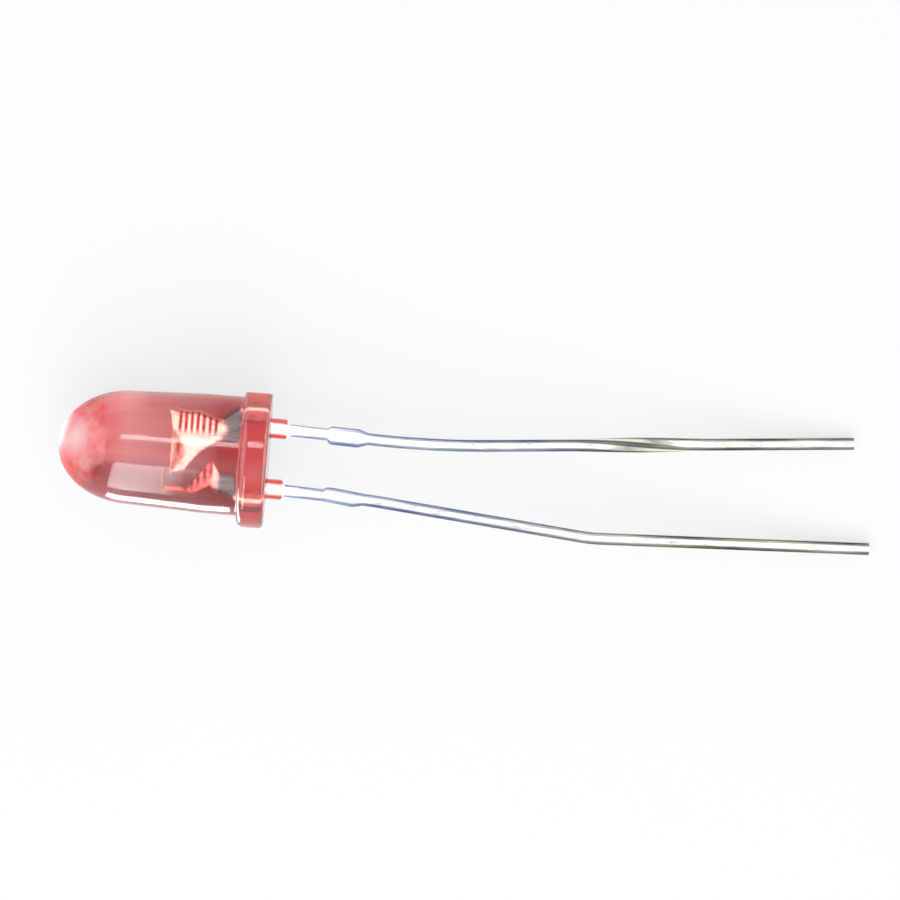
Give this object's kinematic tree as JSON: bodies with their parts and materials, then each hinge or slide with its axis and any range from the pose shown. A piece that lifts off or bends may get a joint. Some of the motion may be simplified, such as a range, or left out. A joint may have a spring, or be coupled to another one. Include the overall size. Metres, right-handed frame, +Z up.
{
  "type": "through hole led",
  "caption": "Round clear red light-emitting diode with a flanged lens over a stamped leadframe and long, slightly bent square leads.",
  "frame": {"origin": "centre of the flange's back face, the face that seats towards the circuit board", "axes": "+X along the axis from the dome towards the lead tips, +Y to the cathode and the flange's flat, +Z up as the LED lies on its side"},
  "size_m": [0.0342, 0.0057, 0.0059],
  "materials": {
    "red_resin": "clear red cast epoxy, glossy",
    "plated_steel": "bright tin and silver plating on stamped steel",
    "silver_adhesive": "matt silver-filled adhesive",
    "semiconductor": "dark semiconductor crystal with a small metal pad",
    "gold": "bright fine gold wire"
  },
  "bodies": {
    "root": {"epoxy_lens": "red_resin", "cathode_lead": "plated_steel", "anode_lead": "plated_steel", "die_adhesive": "silver_adhesive", "led_die": "semiconductor", "bond_wire": "gold"}
  },
  "joints": []
}
